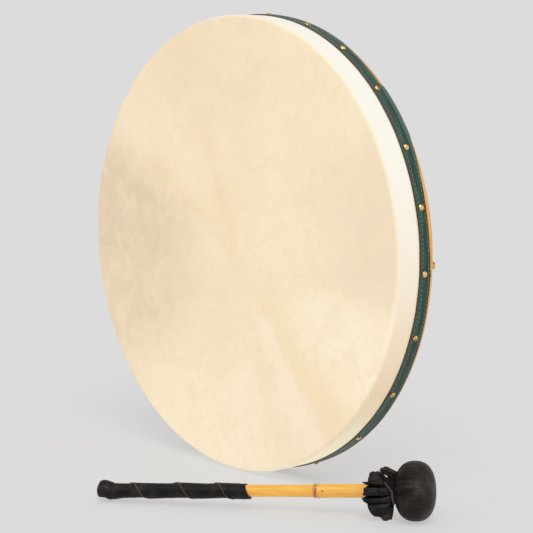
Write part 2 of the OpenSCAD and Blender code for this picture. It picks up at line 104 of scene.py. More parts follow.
def smooth(x, low, high):
    """0 up to low, 1 from high, and a soft step between them."""
    t = np.clip((np.asarray(x, float) - low) / (high - low), 0, 1)
    return t * t * (3 - 2 * t)


def bell(x, middle, width):
    """1 at the middle, falling off to both sides."""
    return np.exp(-(((np.asarray(x, float) - middle) / width) ** 2))


def wave(points, degrees):
    """A smooth closed line through (degrees, value) points."""
    places, values = np.array(sorted(points), float).T
    degrees = (np.asarray(degrees, float) - places[0]) % 360 + places[0]
    places, values = np.append(places, places[0] + 360), np.append(values, values[0])
    i = np.clip(np.searchsorted(places, degrees, side="right") - 1, 0, len(places) - 2)
    t = smooth(degrees, places[i], places[i + 1])
    return values[i] * (1 - t) + values[i + 1] * t


def half_turn(degrees):
    """The same angle as one from -180 to 180 degrees."""
    return (degrees + 180) % 360 - 180


def ring(count, start=0):
    """Even steps of angle once round, in radians."""
    return np.linspace(start, start + 2 * math.pi, count, endpoint=False)


def ring_noise(angle, along, turns, scale, seed):
    """Smooth noise from -1 to 1 on a ring: it meets itself after a full turn."""
    along = np.broadcast_to(along * scale, angle.shape)
    places = np.stack([turns * np.cos(angle), turns * np.sin(angle), along], -1)
    shift = Vector((seed * 17.3, seed * 5.1, seed * 9.7))
    values = [noise.noise(Vector(p) + shift) for p in places.reshape(-1, 3)]
    return np.array(values).reshape(angle.shape)


def two_edges(upper, lower, rows):
    """The places of an upper and a lower outline, row by row, from points in millimetres."""
    share = np.linspace(0, 1, rows)[:, None]
    marks = np.linspace(0, 1, len(upper))
    return [MM * np.interp(share, marks, [point[k] for point in edge])
            for edge in (upper, lower) for k in (0, 1)]


# The air kept under the beater, where its radius has no limit above, and the least sine used
FLOOR_GAP, NO_LIMIT, LEAST_SINE = 0.1 * MM, 1, 1e-6


def above_floor(s, a, gap=FLOOR_GAP):
    """The largest radius that keeps a point of the beater that far above the floor."""
    height = (BUTT.z + s * BEATER_X.z) / BEATER_Z.z - gap
    return np.where(np.sin(a) < 0, height / np.clip(-np.sin(a), LEAST_SINE, 1), NO_LIMIT)


def beater_points(s, r, a):
    """Points of the beater in its own frame."""
    s, r, a = np.broadcast_arrays(s, r, a)
    return np.stack([s, r * np.cos(a), r * np.sin(a)], -1).reshape(-1, 3)


def drum_points(angle, radius, depth):
    """Points of the drum: the angle turns from its right side up over its top."""
    return np.stack([
        CENTRE.x + radius * np.cos(angle),
        CENTRE.y + np.broadcast_to(depth, np.shape(angle)),
        CENTRE.z + radius * np.sin(angle),
    ], -1)


# Helpers for meshes

def grid_faces(rows, columns, wrap_rows=False, wrap_columns=False, start=0):
    """The quads of a grid of points that is stored row by row."""
    faces = []
    for i in range(rows if wrap_rows else rows - 1):
        for k in range(columns if wrap_columns else columns - 1):
            here, there = start + i * columns, start + (i + 1) % rows * columns
            k2 = (k + 1) % columns
            faces.append([here + k, here + k2, there + k2, there + k])
    return faces


def tube_faces(rows, columns, start=0):
    """The faces of a tube whose rows are rings, closed at both ends."""
    last = start + (rows - 1) * columns
    ends = [list(range(start, start + columns))[::-1], list(range(last, last + columns))]
    return grid_faces(rows, columns, wrap_columns=True, start=start) + ends


def flipped(faces):
    """The same faces, seen from their other side."""
    return [face[::-1] for face in faces]


def make(name, points, faces, looks, body, uv=None, look_of=None, replaces=()):
    """A smooth piece on its body, with its materials. The beater's are given in its own frame."""
    mesh = bpy.data.meshes.new(name)
    mesh.from_pydata([tuple(p) for p in points], [], faces)
    for look in looks:
        mesh.materials.append(LOOKS[look])
    mesh.polygons.foreach_set("use_smooth", [True] * len(mesh.polygons))
    if look_of is not None:
        mesh.polygons.foreach_set("material_index", look_of)
    if uv is not None:
        layer = mesh.uv_layers.new(name="UVMap")
        corners = np.zeros(len(mesh.loops), np.int32)
        mesh.loops.foreach_get("vertex_index", corners)
        layer.data.foreach_set("uv", np.asarray(uv, np.float32)[corners].ravel())
    mesh.update()
    piece = bpy.data.objects.new(name, mesh)
    SCENE.collection.objects.link(piece)
    if body == "beater":
        piece.matrix_world = BEATER
    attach(piece, body)
    if replaces:
        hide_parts(*replaces)
    return piece


def thicken(piece, thickness):
    """Gives a surface its thickness, half of it to each side."""
    solid = piece.modifiers.new("Thickness", "SOLIDIFY")
    solid.thickness = thickness
    solid.offset = 0
    graph = bpy.context.evaluated_depsgraph_get()
    mesh = bpy.data.meshes.new_from_object(piece.evaluated_get(graph))
    piece.modifiers.clear()
    piece.data = mesh


MERGE_WITHIN = 0.002 * MM


def merge_points(piece):
    """Joins the points that lie in one place, and takes out the faces that vanish with them."""
    mesh = bmesh.new()
    mesh.from_mesh(piece.data)
    bmesh.ops.remove_doubles(mesh, verts=mesh.verts, dist=MERGE_WITHIN)
    bmesh.ops.dissolve_degenerate(mesh, edges=mesh.edges, dist=MERGE_WITHIN)
    mesh.to_mesh(piece.data)
    mesh.free()


# Materials. Their colours are red, green and blue from 0 to 255

def srgb(red, green, blue):
    """A colour of 0 to 255 a channel in Blender's own linear values."""
    shares = [c / 255 for c in (red, green, blue)]
    return tuple(c / 12.92 if c <= 0.04045 else ((c + 0.055) / 1.055) ** 2.4 for c in shares) + (1,)


def add_node(tree, kind, inputs, output=0, **settings):
    """The output of a new node, with its settings and with values or links at its inputs."""
    made = tree.nodes.new(kind)
    for key, value in settings.items():
        setattr(made, key, value)
    for key, value in inputs.items():
        if isinstance(value, bpy.types.NodeSocket):
            tree.links.new(value, made.inputs[key])
        else:
            made.inputs[key].default_value = value
    return made.outputs[output]


LOOKS = {}


class Look:
    """A material under construction: most methods add nodes and return an output of theirs."""

    def __init__(self, name, **settings):
        self.name = name
        self.material = bpy.data.materials.new(name)
        self.material.use_nodes = True
        self.tree = self.material.node_tree
        self.shader = self.tree.nodes["Principled BSDF"]
        for key, value in settings.items():
            self.shader.inputs[key.replace("_", " ")].default_value = value

    def done(self, colour, normal, roughness=None):
        """Links what the shader takes, and keeps the finished material by its name."""
        self.tree.links.new(colour, self.shader.inputs["Base Color"])
        self.tree.links.new(normal, self.shader.inputs["Normal"])
        if roughness is not None:
            self.tree.links.new(roughness, self.shader.inputs["Roughness"])
        LOOKS[self.name] = self.material

    def node(self, kind, inputs, output=0, **settings):
        return add_node(self.tree, kind, inputs, output, **settings)

    def vector(self, operation, *inputs):
        return self.node("ShaderNodeVectorMath", dict(enumerate(inputs)), operation=operation)

    def place(self, origin=(0, 0, 0), scale=(1, 1, 1), turn=(0, 0, 0)):
        """Object coordinates from an origin, scaled and turned after that."""
        here = self.node("ShaderNodeTexCoord", {}, "Object")
        moved = self.vector("SUBTRACT", here, origin)
        return self.node("ShaderNodeMapping", {"Vector": moved, "Scale": scale, "Rotation": turn})

    def sheet_place(self, scale=(1, 1, 1)):
        """The piece's own flat coordinates, in metres along and across it."""
        here = self.node("ShaderNodeTexCoord", {}, "UV")
        return self.node("ShaderNodeMapping", {"Vector": here, "Scale": scale})

    def parts(self, vector):
        """The three parts of a vector."""
        made = self.tree.nodes.new("ShaderNodeSeparateXYZ")
        self.tree.links.new(vector, made.inputs[0])
        return made.outputs[0], made.outputs[1], made.outputs[2]

    def math(self, operation, a, b=0):
        return self.node("ShaderNodeMath", {0: a, 1: b}, operation=operation)

    def times(self, a, b):
        return self.math("MULTIPLY", a, b)

    def apart(self, a, b):
        """How far two values are from each other."""
        return self.math("ABSOLUTE", self.math("SUBTRACT", a, b))

    def length(self, a, b):
        """The distance that two parts at right angles make up."""
        return self.math("SQRT", self.math("ADD", self.times(a, a), self.times(b, b)))

    def step(self, value, low, high, start=0, end=1):
        """A soft step from start to end while the value goes from low to high."""
        inputs = {"Value": value, "From Min": low, "From Max": high, "To Min": start, "To Max": end}
        return self.node("ShaderNodeMapRange", inputs, interpolation_type="SMOOTHSTEP")

    def fall(self, value, low, high, start=1):
        """A soft step from start down to 0 while the value goes from low to high."""
        return self.step(value, low, high, start, 0)

    def between(self, value, limits, unit):
        """1 between two limits and 0 beyond them, where each limit has its softness."""
        (low, soft_low), (high, soft_high) = limits
        above = self.step(value, (low - soft_low) * unit, (low + soft_low) * unit)
        below = self.fall(value, (high - soft_high) * unit, (high + soft_high) * unit)
        return self.times(above, below)

    def noise(self, vector, scale, detail=3, roughness=0.55, distortion=0):
        return self.node("ShaderNodeTexNoise", {
            "Vector": vector, "Scale": scale, "Detail": detail, "Roughness": roughness,
            "Distortion": distortion})

    def cells(self, vector, scale, feature="SMOOTH_F1"):
        inputs = {"Vector": vector, "Scale": scale}
        return self.node("ShaderNodeTexVoronoi", inputs, feature=feature)

    def mix(self, share, a, b):
        """From a to b by the share. Each is a colour of 0 to 255 a channel or an output."""
        a, b = [srgb(*c) if isinstance(c, tuple) else c for c in (a, b)]
        return self.node("ShaderNodeMix", {0: share, 6: a, 7: b}, 2, data_type="RGBA")

    def bump(self, height, distance, normal=None):
        inputs = {"Height": height, "Distance": distance}
        if normal is not None:
            inputs["Normal"] = normal
        return self.node("ShaderNodeBump", inputs)


# A hide's two cream tones and its veins, and the upper, lower and lowest tone of its side, which
# paint light by height: whiter on top, creamier in painted shade lower down, and pale again at the
# bottom as painted floor bounce
FRONT_TONES = ((249, 231, 201), (244, 224, 191), (226, 196, 152))
REAR_TONES = ((243, 224, 196), (234, 211, 179), (212, 180, 141))
SIDE_LIGHT_AND_SHADE_TONES = ((243, 238, 226), (248, 223, 189), (255, 247, 214))
# The first tone is painted shade on the side next to the tape; the second is the specks' own tone
TAPE_SHADE_TONE, SPECK_TONE = (222, 172, 118), (150, 116, 84)
# The marbling of the played skin, with painted shade in it: its rays meet near the middle, and the
# last two darken the face's left part as painted shade. Each has a colour, a strength, its two
# edges in degrees and its reach in millimetres, with the softness of each
MARBLING_AT = (13 * MM, 0, -21 * MM)
MARBLING_BEND = (0.022, 0, 0.022)
MARBLING_AND_SHADE = [
    ((240, 210, 165), 0.40, ((92, 10), (150, 6)), ((14, 12), (100, 60))),
    ((232, 200, 154), 0.40, ((139, 5), (150, 3)), ((90, 50), (215, 30))),
    ((238, 208, 168), 0.35, ((107, 6), (116, 4)), ((60, 40), (185, 40))),
    ((234, 208, 178), 0.35, ((84, 12), (122, 10)), ((170, 50), (320, 10))),
    ((250, 226, 182), 0.55, ((-50, 2.2), (-31, 13)), ((40, 25), (320, 10))),
    ((255, 240, 215), 0.60, ((-66, 6), (-52, 2)), ((70, 60), (320, 10))),
    ((255, 241, 214), 0.60, ((-125, 20), (-74, 14)), ((130, 70), (320, 10))),
    ((255, 242, 216), 0.85, ((-38, 10), (-8, 10)), ((120, 50), (320, 10))),
    ((236, 218, 194), 0.60, ((-6, 8), (30, 14)), ((170, 50), (320, 10))),
    # Painted shade: these two rays darken the face's left part
    ((218, 196, 168), 0.75, ((150, 10), (200, 8)), ((110, 80), (320, 10))),
    ((222, 200, 170), 0.72, ((-200, 8), (-146, 14)), ((110, 80), (320, 10))),
]


def marbled(look, here, colour):
    """The colour with the marbling's rays over it, painted shade among them, bent a little and
    patchy.
    """
    warp = look.node(
        "ShaderNodeTexNoise", {"Vector": here, "Scale": 14, "Detail": 4}, "Color")
    shift = look.vector("SUBTRACT", warp, (0.5, 0.5, 0.5))
    bent = look.vector("MULTIPLY_ADD", shift, MARBLING_BEND, here)
    x, _, z = look.parts(look.vector("SUBTRACT", bent, MARBLING_AT))
    angle, radius = look.math("ARCTAN2", z, x), look.length(x, z)
    patchy = look.step(look.noise(here, 30, 5, 0.6, 0.8), 0.3, 0.62, 0.5, 1)
    for tone, strength, edges, reach in MARBLING_AND_SHADE:
        ray = look.times(look.between(angle, edges, DEGREE), look.between(radius, reach, MM))
        colour = look.mix(look.times(look.times(ray, strength), patchy), colour, tone)
    return colour


def skin(name, tones, face_depth, has_marbling):
    """Untanned goatskin: cream, faintly veined and mottled; down the side it carries painted light
    and shade by height, and painted shade by the tape.
    """
    look = Look(name, Roughness=0.62, Specular_IOR_Level=0.32)
    here = look.place(CENTRE)
    x, depth, z = look.parts(here)
    radius = look.length(x, z)
    cloud = look.noise(here, 6.5, 4, 0.5, 0.6)
    colour = look.mix(look.step(cloud, 0.3, 0.72), tones[0], tones[1])
    if has_marbling:
        colour = marbled(look, here, colour)
    veins = look.noise(here, 55, 6, 0.65, 1.6)
    colour = look.mix(look.step(veins, 0.42, 0.7, 0, 0.16), colour, tones[2])
    grain = look.noise(here, 900, 2)
    colour = look.mix(look.step(grain, 0.35, 0.75, 0, 0.05), colour, tones[2])

    # The side's tones begin on the bend, by the path over the hide from its flat's edge
    # Painted light on the side: the upper tone is painted light from above, the lower one painted
    # shade, the lowest one painted bounce from the floor
    upper, lower, floor_bounce_tone = SIDE_LIGHT_AND_SHADE_TONES
    side = look.mix(look.step(z, -0.20, 0.12), lower, upper)
    side = look.mix(look.fall(z, -0.22, -0.14), side, floor_bounce_tone)
    outwards = look.math("SUBTRACT", radius, FACE_R)
    path = look.math("ADD", outwards, look.apart(depth, face_depth))
    colour = look.mix(look.step(path, 2 * MM, 10 * MM), colour, side)

    # Painted shade on the side along the tape's front edge, patchy, and a few specks
    tape_shade = look.step(depth, TAPE_FRONT - 2.4 * MM, TAPE_FRONT - 0.4 * MM, 0, 0.5)
    patchy = look.step(look.noise(here, 40, 3), 0.35, 0.6, 0.4, 1)
    on_side = look.step(radius, SKIN_R - 1 * MM, SKIN_R - 0.5 * MM)
    colour = look.mix(look.times(look.times(tape_shade, patchy), on_side), colour, TAPE_SHADE_TONE)
    spots = look.fall(look.cells(here, 31, "F1"), 0.012, 0.03)
    speck = look.times(spots, look.step(look.noise(here, 9), 0.56, 0.6))
    colour = look.mix(look.times(speck, 0.5), colour, SPECK_TONE)

    soft = look.bump(look.noise(here, 24, 3), 0.5 * MM)
    normal = look.bump(grain, 0.03 * MM, soft)
    look.done(colour, normal, look.step(veins, 0.3, 0.7, 0.56, 0.68))


# How much a wood's grain is drawn out along it, and how dark its pores are
GRAIN_STRETCH = 0.06
PORE_SHADE = 0.35


def wood(name, light, dark, grain_scale, coat, roughness, round_drum=False):
    """Wood whose grain runs along the piece, or round the drum on a bent one."""
    look = Look(name, Roughness=roughness, Coat_Weight=coat, Coat_Roughness=0.12)
    if round_drum:
        x, y, z = look.parts(look.place(CENTRE))
        along = look.times(look.times(look.math("ARCTAN2", z, x), HOOP_R), GRAIN_STRETCH)
        flow = look.node("ShaderNodeCombineXYZ", {0: along, 1: y, 2: look.length(x, z)})
    else:
        flow = look.place(scale=(GRAIN_STRETCH, 1, 1))
    lines = look.noise(flow, grain_scale, 5, 0.6, 0.5)
    broad = look.noise(flow, grain_scale * 0.16, 3)
    colour = look.mix(look.step(lines, 0.36, 0.68), dark, light)
    colour = look.mix(look.step(broad, 0.35, 0.75, 0, 0.45), colour, dark)
    pores = look.step(look.noise(flow, grain_scale * 4, 2), 0.66, 0.74, 0, 0.5)
    pore_tone = [PORE_SHADE * c for c in srgb(*dark)[:3]] + [1]
    look.done(look.mix(pores, colour, pore_tone), look.bump(lines, 0.12 * MM))


def metal(name, clean, dark_patch):
    """Polished metal with fine scratches, and large dark patches that are partly tarnish and partly
    painted dark reflection.
    """
    look = Look(name, Metallic=1)
    here = look.place()
    # Dark patches: partly tarnish, partly painted reflection of dark surroundings
    tarnish_and_reflection = look.step(look.noise(here, 260, 4), 0.45, 0.66)
    scratches = look.bump(look.noise(here, 2080), 0.01 * MM)
    roughness = look.step(look.noise(here, 780), 0.3, 0.8, 0.14, 0.28)
    look.done(look.mix(tarnish_and_reflection, clean, dark_patch), scratches, roughness)


def leather(name, base, worn, roughness):
    """Soft black leather: fine grain, creases, and a browner tone where it is rubbed."""
    look = Look(name, Specular_IOR_Level=0.2)
    here = look.place()
    rubbed = look.step(look.noise(here, 60, 4, 0.6), 0.42, 0.75)
    wrinkle = look.noise(look.place(scale=(0.45, 1, 1)), 190, 5, 0.62, 1.2)
    normal = look.bump(look.cells(here, 1100), 0.06 * MM, look.bump(wrinkle, 0.6 * MM))
    patches = look.noise(here, 240, 3)
    uneven = look.step(patches, 0.3, 0.75, roughness - 0.07, roughness + 0.09)
    look.done(look.mix(rubbed, base, worn), normal, uneven)


BALL_TONES = ((38, 32, 29), (66, 58, 53))
# Painted shade: the tone drawn into the creases, and the darker tone towards the neck
BALL_CREASE_SHADE, BALL_NECK_SHADE = (10, 8, 8), (14, 12, 11)


def ball_look():
    """The head's leather: drawn tight over the felt, creased towards the neck, with painted shade
    in its creases and darker painted shade towards the neck.
    """
    look = Look("ball_leather", Specular_IOR_Level=0.08)
    here = look.place()
    rubbed = look.step(look.noise(here, 45, 4, 0.6), 0.4, 0.75)
    colour = look.mix(rubbed, *BALL_TONES)
    _, down, _ = look.parts(look.sheet_place())
    creases = look.noise(look.sheet_place((1, 0.06, 1)), 300, 4, 0.6)
    # Painted shade along the creases
    lines = look.times(look.step(creases, 0.47, 0.6), look.step(down, 24 * MM, 80 * MM))
    colour = look.mix(look.times(lines, 0.85), colour, BALL_CREASE_SHADE)
    # Painted shade towards the neck
    neck_shade = look.step(down, 45 * MM, 98 * MM)
    colour = look.mix(look.times(neck_shade, 0.55), colour, BALL_NECK_SHADE)
    folds = look.times(creases, look.step(down, 20 * MM, 80 * MM, 0.25, 1))
    normal = look.bump(look.cells(here, 1100), 0.05 * MM, look.bump(folds, 1.4 * MM))
    roughness = look.step(look.noise(here, 240, 3), 0.3, 0.75, 0.36, 0.5)
    look.done(colour, normal, roughness)


TAPE_TONES = ((9, 27, 22), (50, 84, 69))
# The last tone is painted light along the tape's rear edge
TAPE_PATCH, TAPE_WORN_FRONT, TAPE_LIT_REAR = (56, 82, 70), (80, 102, 86), (98, 126, 110)
# The margin's tone is a painted highlight, the fold's a painted shade in the seam, and the last a
# darker line at the front edge
TAPE_MARGIN_HIGHLIGHT, TAPE_SEAM_SHADE, TAPE_FRONT_LINE = (72, 74, 62), (18, 30, 24), (46, 42, 32)


def tape_look():
    """Dark green imitation leather, finely lined along the tape and worn near its front, with
    painted light along its rear edge, a painted highlight on its front margin, painted shade at its
    front seam and a darker line at its front edge.
    """
    look = Look("green_tape", Specular_IOR_Level=0.28)
    here = look.sheet_place()
    _, across, _ = look.parts(here)
    _, _, height = look.parts(look.place(CENTRE))
    lines = look.noise(look.sheet_place((0.05, 1, 1)), 480, 4, 0.65)
    patches = look.noise(here, 45, 4, 0.6)
    colour = look.mix(look.step(lines, 0.38, 0.64), *TAPE_TONES)
    colour = look.mix(look.step(patches, 0.45, 0.75, 0, 0.25), colour, TAPE_PATCH)
    colour = look.mix(look.fall(across, 5.5 * MM, 10.5 * MM, 0.3), colour, TAPE_WORN_FRONT)
    # Painted light along the rear edge, stronger towards the top of the drum
    at_rear = look.step(across, 14 * MM, 16.5 * MM)
    lit_rear = look.times(at_rear, look.step(height, 0.02, 0.16, 0.1, 0.45))
    colour = look.mix(lit_rear, colour, TAPE_LIT_REAR)
    # Painted highlight on the front margin
    margin_highlight = look.fall(across, SEAM_FRONT - 2.4 * MM, SEAM_FRONT - 0.8 * MM, 0.55)
    colour = look.mix(margin_highlight, colour, TAPE_MARGIN_HIGHLIGHT)
    # Painted shade in the front seam's groove
    fold = look.fall(look.apart(across, SEAM_FRONT), 0.3 * MM, 0.9 * MM, 0.4)
    colour = look.mix(fold, colour, TAPE_SEAM_SHADE)
    # A darker brown line along the front edge
    colour = look.mix(look.fall(across, 0.4 * MM, 1.2 * MM, 0.8), colour, TAPE_FRONT_LINE)
    normal = look.bump(look.cells(here, 1300), 0.08 * MM, look.bump(lines, 0.15 * MM))
    look.done(colour, normal, look.step(patches, 0.3, 0.75, 0.36, 0.52))


def thread_look(name, tone, shade):
    """Twisted thread or cord, its strands as a fine slanted pattern."""
    look = Look(name, Roughness=0.7, Sheen_Weight=0.2, Sheen_Roughness=0.5)
    strands = look.noise(look.place(turn=(0.5, 0.6, 0.3)), 2600, 2)
    colour = look.mix(look.step(strands, 0.35, 0.65), shade, tone)
    look.done(colour, look.bump(strands, 0.1 * MM))


BAMBOO_TONES, BAMBOO_AMBER = ((224, 158, 50), (243, 189, 76)), (214, 138, 52)
NODE_STAIN, NODE_LINE = (160, 96, 52), (120, 62, 36)


def bamboo_look():
    """Lacquered bamboo: long fibres, amber lacquer and a brown scar at its node."""
    look = Look("bamboo", Roughness=0.34, Coat_Weight=0.5, Coat_Roughness=0.16)
    along, _, _ = look.parts(look.place())
    fibres = look.noise(look.place(scale=(0.03, 1, 1)), 1500, 4, 0.6)
    tone = look.noise(look.place(scale=(0.25, 1, 1)), 90, 4, 0.6)
    colour = look.mix(look.step(fibres, 0.35, 0.7), *BAMBOO_TONES)
    colour = look.mix(look.step(tone, 0.5, 0.78, 0, 0.55), colour, BAMBOO_AMBER)
    patches = look.noise(look.place(scale=(0.8, 1, 1)), 260, 4, 0.7)
    from_node = look.apart(along, NODE_AT)
    stain = look.times(look.fall(from_node, 1.2 * MM, 4.6 * MM), look.step(patches, 0.36, 0.56))
    colour = look.mix(look.times(stain, 0.8), colour, NODE_STAIN)
    line = look.times(look.fall(from_node, 0.5 * MM, 1.7 * MM), look.step(patches, 0.4, 0.5))
    colour = look.mix(look.times(line, 0.8), colour, NODE_LINE)
    look.done(colour, look.bump(fibres, 0.05 * MM, look.bump(tone, 0.2 * MM)))


def felt_look():
    """Pale matt felt, mottled."""
    look = Look("felt", Roughness=0.95)
    mottle = look.noise(look.place(), 900, 4, 0.6)
    colour = look.mix(look.step(mottle, 0.3, 0.7), (196, 194, 188), (222, 220, 214))
    look.done(colour, look.bump(mottle, 0.4 * MM))


skin("front_skin", FRONT_TONES, 0, True)
skin("rear_skin", REAR_TONES, REAR_FACE, False)
wood("shell_wood", (196, 152, 98), (158, 112, 66), 420, 0, 0.55, True)
wood("hoop_wood", (243, 180, 88), (210, 138, 52), 380, 0.6, 0.3, True)
wood("core_wood", (204, 168, 122), (170, 130, 86), 500, 0, 0.6)
metal("brass", (250, 208, 126), (150, 92, 40))
metal("steel", (202, 204, 208), (150, 152, 158))
tape_look()
bamboo_look()
leather("black_leather", (9, 7, 7), (40, 30, 27), 0.42)
leather("turned_leather", (30, 24, 21), (76, 62, 54), 0.5)
leather("leather_edge", (82, 74, 50), (104, 92, 64), 0.7)
ball_look()
felt_look()
thread_look("tie_cord", (84, 80, 76), (46, 42, 40))
thread_look("stitch_thread", (118, 148, 130), (84, 112, 98))

# The CAD nodes that stay as they are, with the material of each
KEPT_NODES = {
    "shell": "shell_wood", "tape_tacks": "brass", "rear_hoop": "hoop_wood", "hoop_pins": "brass",
    "joint_screw": "brass", "steel_balls": "steel", "head_core": "core_wood",
    "head_padding": "felt",
}


def dress_nodes():
    """Gives the CAD nodes that stay their materials."""
    for name, look in KEPT_NODES.items():
        materials = frame["nodes"][name].data.materials
        materials.clear()
        materials.append(LOOKS[look])


# The two skins. Their rings of points lie on the flat, round the bend and down the side

FLAT_RINGS, BEND_RINGS, SIDE_RINGS = 26, 10, 13
INNERMOST = 0.02
SIDE_THINNER = 0.2 * MM


def hide(name, look, face, inwards, lap, stands_for):
    """One whole hide: its flat face, the bend over the bearing edge and the lap down the side."""
    columns = 360
    flat = np.linspace(INNERMOST, 1, FLAT_RINGS) * FACE_R
    turn = np.linspace(0, math.pi / 2, BEND_RINGS + 1)[1:]
    side = np.linspace(BEND_R, lap, SIDE_RINGS + 1)[1:]
    radius = np.concatenate([flat, FACE_R + BEND_R * np.sin(turn), np.full(SIDE_RINGS, SKIN_R)])
    depth = np.concatenate([0 * flat, BEND_R * (1 - np.cos(turn)), side])
    tilt = np.concatenate([0 * flat, turn, np.full(SIDE_RINGS, math.pi / 2)])
    thick = SKIN_T - SIDE_THINNER * np.sin(tilt)
    radius = np.concatenate([radius, (radius - thick * np.sin(tilt))[::-1]])
    depth = np.concatenate([depth, (depth + thick * np.cos(tilt))[::-1]])
    radius, angle = np.meshgrid(radius, ring(columns, -math.pi), indexing="ij")
    points = drum_points(angle, radius, face - CENTRE.y + inwards * depth[:, None])
    faces = tube_faces(len(depth), columns)
    if inwards > 0:
        faces = flipped(faces)
    piece = make(name, points.reshape(-1, 3), faces, [look], "drum", replaces=stands_for)


# The drum's tape, with its stitches. Its lines below go by degrees round the drum

# How far the rear edge rides over the hoop, in millimetres
TAPE_COVER = [
    (-180, 1.5), (-150, 0.6), (-120, 2.2), (-95, 3.2), (-75, 4.2), (-45, 4.8), (-36, 3.6),
    (-28, 2.3), (-20, 1.8), (-8, 1.2), (-3, 1.2), (-1, 0.3), (5, -0.5), (12, -0.5), (19, 0),
    (27, 3.2), (31, 4.9), (42, 5), (43.6, 4.4), (45, 0.8), (50, 1.2), (56, 2.4), (62, 3.9),
    (72, 3.4), (80, 1.6), (100, 2.8), (125, 0.6), (150, 2.4),
]
# How high the front edge has come up in a pucker, in millimetres
TAPE_PUCKER = [
    (-180, 0), (20, 0), (27, 0.1), (33, 0.9), (39, 1), (46, 0.6), (56, 0.45), (66, 0),
    (140, 0), (150, 0.6), (162, 0),
]
# How full the crown is, from 0 to 1
TAPE_CROWN = [
    (-180, 1), (-75, 1), (-65, 0.2), (-38, 0.1), (-24, 1), (12, 1), (24, 0.6), (36, 0.1),
    (66, 0.1), (80, 1),
]
TAPE_T = 0.9 * MM
# The gap under the tape, how square the section of its crown is, and the depth and width of
# what its seams and its tacks draw in
TAPE_GAP = 0.1 * MM
CROWN_POWER = 2.6
GROOVE_DEEP, GROOVE_WIDE = 0.3 * MM, 0.5 * MM
DIMPLE_DEEP, DIMPLE_WIDE = 0.35 * MM, 5.5 * MM
# Where the drum stands on the floor
FOOT_DEGREES = -90


def tack_angles():
    """The angle of each tack round the drum, in degrees, from the CAD node's own parts."""
    tip_height, least_step = 1.2 * MM, 3
    places = np.array([v.co for v in frame["nodes"]["tape_tacks"].data.vertices])
    x, z = places[:, 0] - CENTRE.x, places[:, 2] - CENTRE.z
    far = np.hypot(x, z) > CROWN_R + tip_height
    angles = np.sort(np.degrees(np.arctan2(z[far], x[far])))
    groups = np.split(angles, np.where(np.diff(angles) > least_step)[0] + 1)
    return np.array([group.mean() for group in groups])


TACK_ANGLES = tack_angles()


def tape_edges(angle):
    """The depth of the tape's front and rear edge at each angle, in radians."""
    front = TAPE_FRONT + 0.45 * MM * ring_noise(angle, 0, 9, 1, 1)
    cover = MM * wave(TAPE_COVER, np.degrees(angle))
    rear = HOOP_FRONT + cover + 0.25 * MM * ring_noise(angle, 0, 30, 1, 2)
    return front, rear


def tape_height(angle, depth):
    """The radius of the tape's outer side."""
    front, rear = tape_edges(angle)
    degrees = np.degrees(angle)
    on_hoop = smooth(depth, HOOP_FRONT - 0.5 * MM, HOOP_FRONT + 0.3 * MM)
    base = SKIN_R + TAPE_GAP + on_hoop * (HOOP_R - SKIN_R - 0.7 * TAPE_T)
    seam, rear_seam = front + SEAM_FRONT, rear - SEAM_REAR
    across = np.clip((depth - (seam + rear_seam) / 2) / ((rear_seam - seam) / 2), -1, 1)
    crown = (CROWN_R - SKIN_R - TAPE_T - TAPE_GAP) * wave(TAPE_CROWN, degrees)
    padded = (1 - np.abs(across) ** CROWN_POWER) * crown * (1 - on_hoop)
    grooves = -GROOVE_DEEP * (
        bell(depth, seam, GROOVE_WIDE) + bell(depth, rear_seam, GROOVE_WIDE))
    to_edge = np.minimum(depth - front, rear - depth)
    rounded = -TAPE_T * 0.75 * (1 - smooth(to_edge, 0, 0.7 * MM))
    # The pucker is a valley along the front seam with a ridge on each side of it
    lift = MM * wave(TAPE_PUCKER, degrees)
    valley = -0.8 * lift * bell(depth, seam, 0.8 * MM)
    ridge_width = 1.7 * MM
    ridges = lift * (0.6 * bell(depth, seam + 2.6 * MM, ridge_width)
                     + bell(depth, seam - 2.4 * MM, ridge_width))
    nearest = np.abs(half_turn(degrees[..., None] - TACK_ANGLES)).min(-1)
    tack_depth = (TAPE_FRONT + TAPE_REAR) / 2
    from_tack = np.hypot(np.radians(nearest) * CROWN_R, depth - tack_depth)
    dimple = -DIMPLE_DEEP * bell(from_tack, 0, DIMPLE_WIDE)
    crumple = 0.16 * MM * ring_noise(angle, depth, 60, 260, 3) * (1 - 0.7 * on_hoop)
    radius = base + TAPE_T + padded + grooves + rounded + valley + ridges + dimple + crumple
    # Where the drum stands, the floor holds the tape down
    off_floor = smooth(np.abs(half_turn(degrees - FOOT_DEGREES)), 4, 12)
    return np.minimum(radius, CROWN_R - 0.02 * MM + off_floor * 3 * MM)


def edge_tape():
    """The tape: its outer side, and its inner side against the skin and the hoop."""
    columns, rows, inner_step = 1080, 40, 6
    angle = ring(columns, -math.pi)
    front, rear = tape_edges(angle)
    depth = front + (rear - front) * np.linspace(0, 1, rows)[:, None]
    wide = np.broadcast_to(angle, depth.shape)
    outer = drum_points(wide, tape_height(wide, depth), depth)
    inner_depth = depth[::-inner_step][:-1]
    on_hoop = smooth(inner_depth, HOOP_FRONT - 0.5 * MM, HOOP_FRONT - 0.1 * MM)
    inner_r = SKIN_R + 0.08 * MM + on_hoop * (HOOP_R - SKIN_R)
    inner = drum_points(np.broadcast_to(angle, inner_depth.shape), inner_r, inner_depth)
    points = np.concatenate([outer, inner])
    total = len(points)
    along = np.broadcast_to(angle * SKIN_R, (total, columns))
    uv = np.stack([along, np.concatenate([depth, inner_depth]) - front], -1)
    faces = flipped(grid_faces(total, columns, wrap_rows=True, wrap_columns=True))
    make("edge_tape_dressed", points.reshape(-1, 3), faces, ["green_tape"], "drum",
         uv=uv.reshape(-1, 2), replaces=["edge_tape"])


